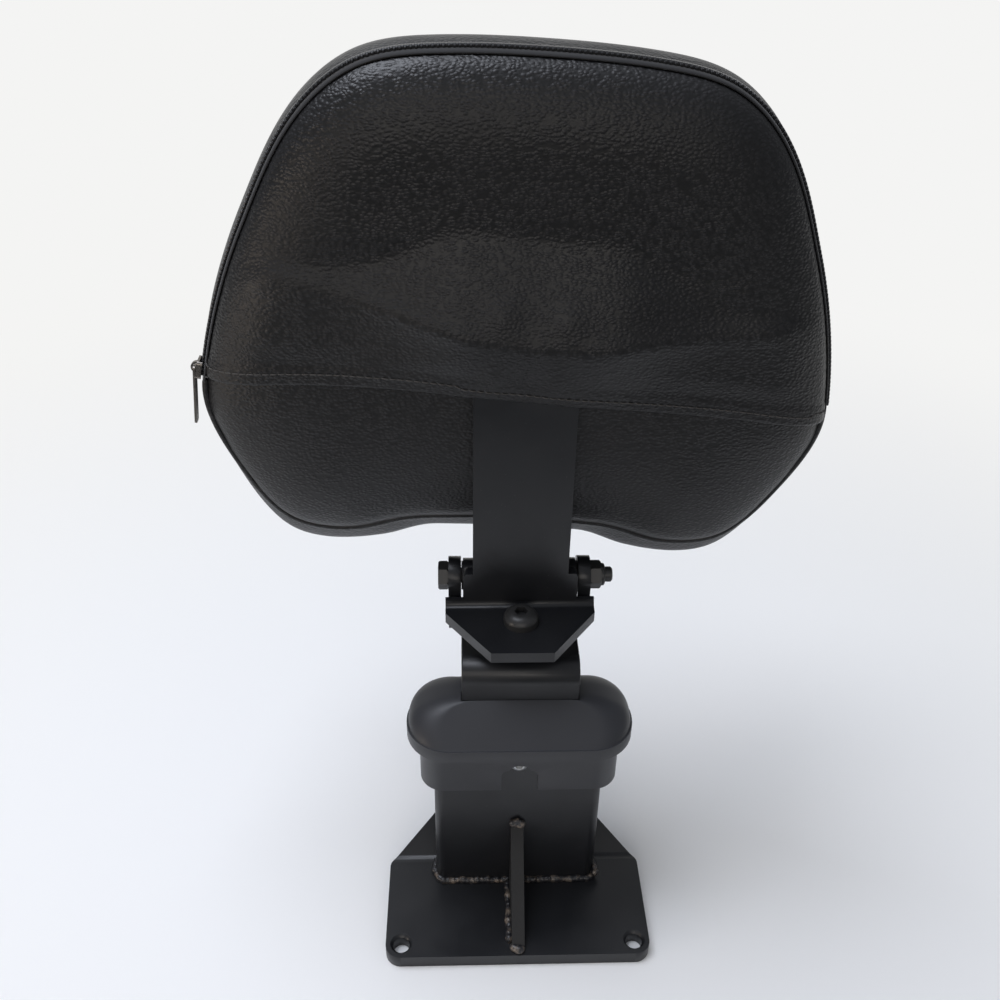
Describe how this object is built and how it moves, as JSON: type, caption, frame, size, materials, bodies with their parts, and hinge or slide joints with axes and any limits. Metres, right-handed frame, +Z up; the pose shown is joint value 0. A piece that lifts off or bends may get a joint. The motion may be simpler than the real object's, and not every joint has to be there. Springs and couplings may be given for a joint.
{
  "type": "motorcycle driver backrest",
  "caption": "Motorcycle driver backrest: bolt-on base with a flat socket, height-sliding mast, folding hinge with tilt screw, and a cushioned pad with a zip-on rear cover.",
  "frame": {"origin": "midway between the two base bolt holes, on the underside of the base plate", "axes": "+X to the right as seen from behind, +Y forwards to the rider's back, +Z up along the mast"},
  "size_m": [0.3053, 0.164, 0.4498],
  "materials": {
    "black_powder_coat": "gloss",
    "black_oxide_steel": "satin",
    "zinc_plated_steel": "satin",
    "nickel_plated_zinc": "satin",
    "collar_plastic": "satin",
    "bush_plastic": "matte",
    "zip_plastic": "satin",
    "black_vinyl": "satin",
    "foam": "matte",
    "plywood": "matte"
  },
  "bodies": {
    "base": {"base_plate": "black_powder_coat", "socket_tube": "black_powder_coat", "gusset_rib": "black_powder_coat", "socket_weld": "black_powder_coat", "gusset_weld": "black_powder_coat", "top_collar": "collar_plastic"},
    "clamp_screw": {"clamp_screw": "zinc_plated_steel"},
    "mast": {"mast_strip": "black_powder_coat", "left_hinge_ear": "black_powder_coat", "right_hinge_ear": "black_powder_coat", "ear_welds": "black_powder_coat", "hinge_bolt": "black_oxide_steel", "hinge_nut": "black_oxide_steel"},
    "backrest": {"backrest_bar": "black_powder_coat", "hinge_barrel": "black_powder_coat", "hinge_bushes": "bush_plastic", "barrel_weld": "black_powder_coat", "tilt_nut": "black_powder_coat", "bar_washers": "zinc_plated_steel", "bar_screws": "zinc_plated_steel", "tee_nuts": "zinc_plated_steel", "backing_board": "plywood", "foam_core": "foam", "rear_panel": "black_vinyl", "front_cover": "black_vinyl", "edge_piping": "black_vinyl", "rear_flap": "black_vinyl", "zip_chain": "zip_plastic"},
    "tilt_screw": {"tilt_screw": "black_oxide_steel"},
    "zip_slider": {"zip_slider": "nickel_plated_zinc"},
    "zip_pull": {"zip_pull": "nickel_plated_zinc"}
  },
  "joints": [
    {"name": "height_slide", "type": "slide", "parent": "base", "child": "mast", "axis": [0, 0, 1], "range_m": [-0.01, 0.045]},
    {"name": "clamp_screw_travel", "type": "slide", "parent": "base", "child": "clamp_screw", "axis": [0, -1, 0], "range_m": [0, 0.0015]},
    {"name": "backrest_fold", "type": "hinge", "parent": "mast", "child": "backrest", "pos_m": [0, 0.09, 0.191], "axis": [-1, 0, 0], "range_deg": [0, 90]},
    {"name": "tilt_screw_travel", "type": "slide", "parent": "backrest", "child": "tilt_screw", "axis": [0, 0, 1], "range_m": [0, 0.006]},
    {"name": "zip_slider_travel", "type": "hinge", "parent": "backrest", "child": "zip_slider", "pos_m": [0.14587, 0.0985, 0.24201], "axis": [0, 1, 0], "range_deg": [0, 11]},
    {"name": "zip_pull_swing", "type": "hinge", "parent": "zip_slider", "child": "zip_pull", "pos_m": [-0.1523, 0.0985, 0.30758], "axis": [0, 1, 0], "range_deg": [0, 140]}
  ]
}
